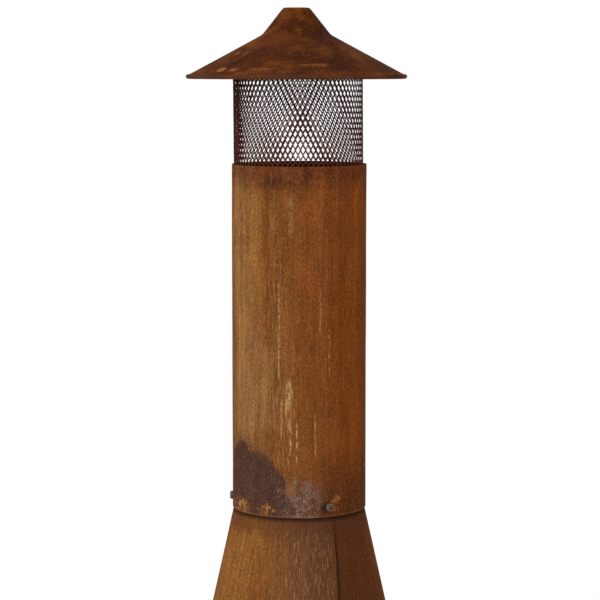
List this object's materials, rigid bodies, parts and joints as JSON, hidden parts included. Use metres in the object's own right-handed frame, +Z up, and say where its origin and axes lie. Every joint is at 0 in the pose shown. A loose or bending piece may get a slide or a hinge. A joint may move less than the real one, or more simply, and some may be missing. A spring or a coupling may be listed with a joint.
{
  "type": "chiminea",
  "caption": "Conical steel garden chiminea with hinged mesh fire door, turn latch, fire grate, round flue, and a lift-off rain cap on an expanded-metal spark guard",
  "frame": {"origin": "On the ground, at the bottom centre of the bounding box, on the flue's axis", "axes": "+Z up along the flue, -Y towards the front with the fire mouth, +X to the right seen from the front"},
  "size_m": [0.4862, 0.4871, 1.3583],
  "materials": {
    "rusty_cone": "matte",
    "rusty_flue": "matte",
    "rusty_cap": "matte",
    "rusty_band": "matte",
    "rusty_door": "matte",
    "rusty_fitting": "matte",
    "rusty_mesh": "matte",
    "sooty_steel": "matte",
    "sooty_iron": "matte",
    "weathered_fastener": "satin",
    "coil_steel": "satin"
  },
  "bodies": {
    "stove": {"body_cone": "rusty_cone", "neck_collar": "rusty_cone", "base_band": "rusty_band", "mouth_trim": "rusty_band", "floor_pan": "sooty_steel", "pan_lugs": "sooty_steel", "grate_bars": "sooty_iron", "grate_cross_bars": "sooty_iron", "grate_legs": "sooty_iron", "foot_rear": "rusty_band", "foot_left": "rusty_band", "foot_right": "rusty_band", "foot_bolts": "weathered_fastener", "foot_nuts": "weathered_fastener", "flue_pipe": "rusty_flue", "flue_screws": "weathered_fastener", "flue_nuts": "weathered_fastener", "flue_stops": "sooty_steel", "hinge_bracket_upper": "rusty_fitting", "hinge_bracket_lower": "rusty_fitting", "hinge_pins": "weathered_fastener", "latch_post": "rusty_fitting", "latch_screw": "weathered_fastener"},
    "door": {"door_frame": "rusty_door", "door_mesh": "rusty_mesh", "door_rivets": "weathered_fastener", "door_knuckle_upper": "rusty_fitting", "door_knuckle_lower": "rusty_fitting", "door_handle": "rusty_fitting", "door_handle_coil": "coil_steel"},
    "latch": {"latch_button": "rusty_fitting"},
    "cap": {"rain_cap": "rusty_cap", "cap_brackets": "rusty_fitting", "spark_guard": "rusty_mesh", "guard_hoop_top": "rusty_fitting", "guard_hoop_bottom": "rusty_fitting"}
  },
  "joints": [
    {"name": "door_hinge", "type": "hinge", "parent": "stove", "child": "door", "pos_m": [-0.14424, -0.14424, 0.25675], "axis": [-0.155, -0.155, -0.9757], "range_deg": [0, 110]},
    {"name": "latch_turn", "type": "hinge", "parent": "stove", "child": "latch", "pos_m": [0.1476, -0.14007, 0.26399], "axis": [0.7077, -0.6716, 0.2193], "range_deg": [0, 90]},
    {"name": "cap_lift", "type": "slide", "parent": "stove", "child": "cap", "axis": [0, 0, 1], "range_m": [0, 0.15]}
  ]
}
